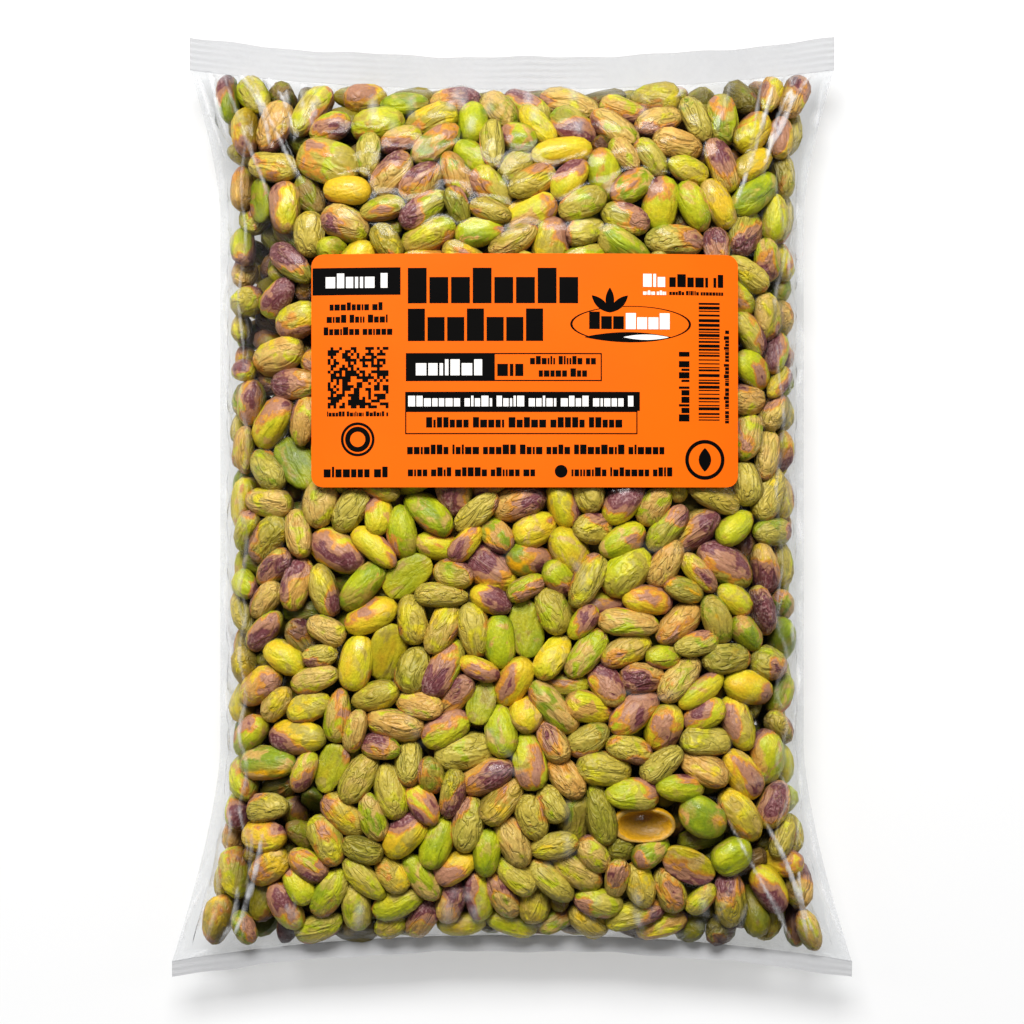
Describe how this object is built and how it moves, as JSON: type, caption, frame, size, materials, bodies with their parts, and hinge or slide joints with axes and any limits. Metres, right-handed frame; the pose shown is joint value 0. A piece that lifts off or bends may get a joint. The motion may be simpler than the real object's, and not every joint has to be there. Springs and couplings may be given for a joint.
{
  "type": "sealed clear bag of shelled pistachio kernels",
  "caption": "Clear pillow bag of film welded across both ends, packed tight with shelled pistachio kernels, with a plain orange printed label on its front; lies on its back.",
  "frame": {"origin": "under the middle of the bag, on the surface it lies on", "axes": "+Z out of the labelled front, +Y towards the top seal, +X to the right as the label is read"},
  "size_m": [0.211, 0.292, 0.0446],
  "materials": {
    "clear_film": "clear glossy polyethylene film with soft creases",
    "welded_film": "clear film, hazy where two layers are welded",
    "label_stock": "coated self-adhesive stock, satin orange",
    "label_ink": "flat black ink",
    "label_white": "flat white ink",
    "pistachio_kernel": "dry wrinkled kernels, yellow green with mauve and tan skin left on"
  },
  "bodies": {
    "root": {"film_tube": "clear_film", "top_seal": "welded_film", "bottom_seal": "welded_film", "label": "label_stock", "kernel_fill": "pistachio_kernel"}
  },
  "joints": []
}
